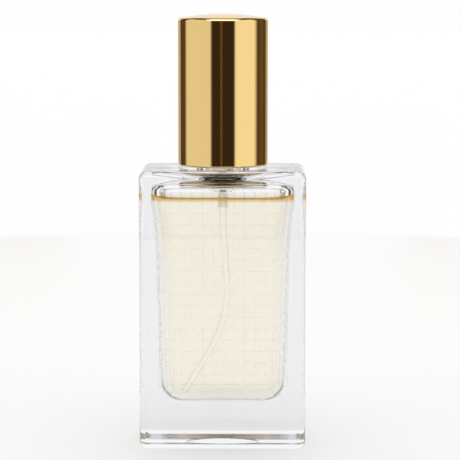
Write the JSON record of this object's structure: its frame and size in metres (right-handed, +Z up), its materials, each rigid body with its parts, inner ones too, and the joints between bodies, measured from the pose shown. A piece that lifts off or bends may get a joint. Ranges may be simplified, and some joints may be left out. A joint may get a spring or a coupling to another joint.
{
  "type": "perfume bottle",
  "caption": "Rectangular heavy-based glass spray bottle with fragrance, crimped pump, dip tube, clad actuator and collar, and a tall round lift-off cap.",
  "frame": {"origin": "centre of the flat ring that the base stands on", "axes": "+Z up along the neck and cap; -Y is the plain front face, +Y the back with the engraved grid; X runs across the wide face"},
  "size_m": [0.046, 0.03, 0.1205],
  "materials": {
    "flint_glass": "fire polished",
    "fragrance": "clear pale straw liquid",
    "clear_polyethylene": "translucent extruded tube",
    "natural_polypropylene": "milky moulded plastic",
    "white_plastic": "moulded",
    "seal_rubber": "matt",
    "stainless_steel": "bright drawn",
    "gold_aluminium": "polished gold anodised"
  },
  "bodies": {
    "bottle": {"glass_bottle": "flint_glass", "perfume_liquid": "fragrance", "dip_tube": "clear_polyethylene", "pump_housing": "natural_polypropylene", "return_spring": "stainless_steel", "housing_closure": "white_plastic", "neck_gasket": "seal_rubber", "crimp_ferrule": "gold_aluminium", "collar_insert": "white_plastic", "collar_shell": "gold_aluminium"},
    "inlet_valve": {"inlet_ball": "stainless_steel"},
    "stem": {"pump_stem": "white_plastic", "valve_pin": "white_plastic", "outlet_spring": "stainless_steel"},
    "piston": {"pump_piston": "natural_polypropylene"},
    "actuator": {"actuator_core": "white_plastic", "actuator_shell": "gold_aluminium", "nozzle_insert": "white_plastic"},
    "cap": {"cap_shell": "gold_aluminium", "cap_liner": "white_plastic", "cap_weight": "stainless_steel"}
  },
  "joints": [
    {"name": "cap_lift", "type": "slide", "parent": "bottle", "child": "cap", "axis": [0, 0, 1], "range_m": [0, 0.045]},
    {"name": "press", "type": "slide", "parent": "bottle", "child": "stem", "axis": [0, 0, -1], "range_m": [0, 0.0045], "stiffness_N_per_m": 1500, "springref_m": -0.002, "deforming": ["return_spring"]},
    {"name": "piston_slide", "type": "slide", "parent": "stem", "child": "piston", "axis": [0, 0, 1], "range_m": [0, 0.0005], "deforming": ["outlet_spring"]},
    {"name": "aim", "type": "hinge", "parent": "stem", "child": "actuator", "pos_m": [0, 0, 0.097], "axis": [0, 0, 1], "continuous": true},
    {"name": "inlet_lift", "type": "slide", "parent": "bottle", "child": "inlet_valve", "axis": [0, 0, 1], "range_m": [0, 0.0004]}
  ],
  "couplings": [
    {"joint": "piston_slide", "follows": "press", "ratio": 0.1111}
  ]
}
